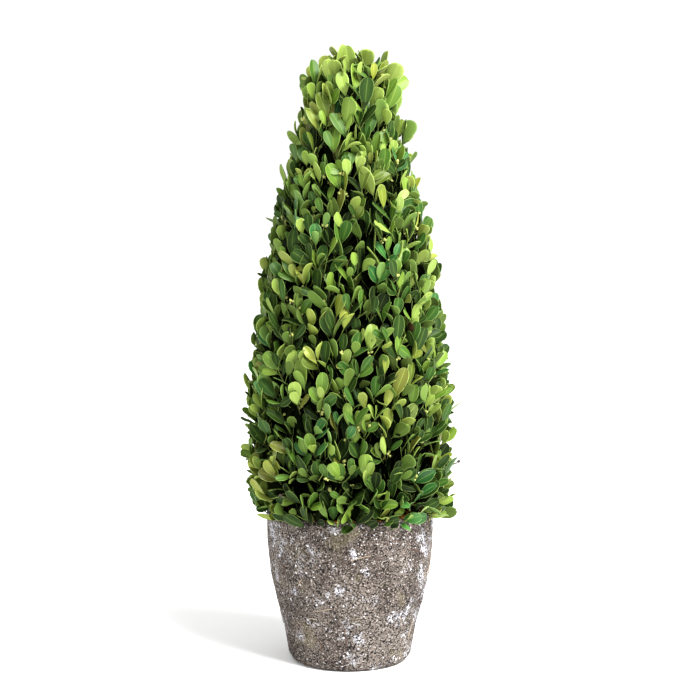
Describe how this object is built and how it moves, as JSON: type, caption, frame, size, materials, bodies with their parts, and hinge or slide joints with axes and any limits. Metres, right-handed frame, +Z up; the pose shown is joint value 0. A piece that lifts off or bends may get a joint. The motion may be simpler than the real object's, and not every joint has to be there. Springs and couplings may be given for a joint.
{
  "type": "boxwood cone topiary",
  "caption": "Small boxwood clipped to a slim dense cone of leafy sprigs, standing in a round rough fibre-cement pot.",
  "frame": {"origin": "centre of the pot's flat underside", "axes": "+Z up along the stem, from the pot to the tip of the cone; -Y towards the front"},
  "size_m": [0.1837, 0.1848, 0.5323],
  "materials": {
    "pot_cement": "rough taupe-grey fibre cement with pits and white lime bloom",
    "potting_fibre": "dry orange-brown coir",
    "stem_bark": "rough grey-brown bark",
    "foliage": "soft satin leaf",
    "foliage_top": "soft satin leaf, yellower"
  },
  "bodies": {
    "root": {"pot": "pot_cement", "potting_fill": "potting_fibre", "stem": "stem_bark", "foliage_skirt": "foliage", "foliage_lower": "foliage", "foliage_middle": "foliage", "foliage_upper": "foliage", "foliage_crown": "foliage_top"}
  },
  "joints": []
}
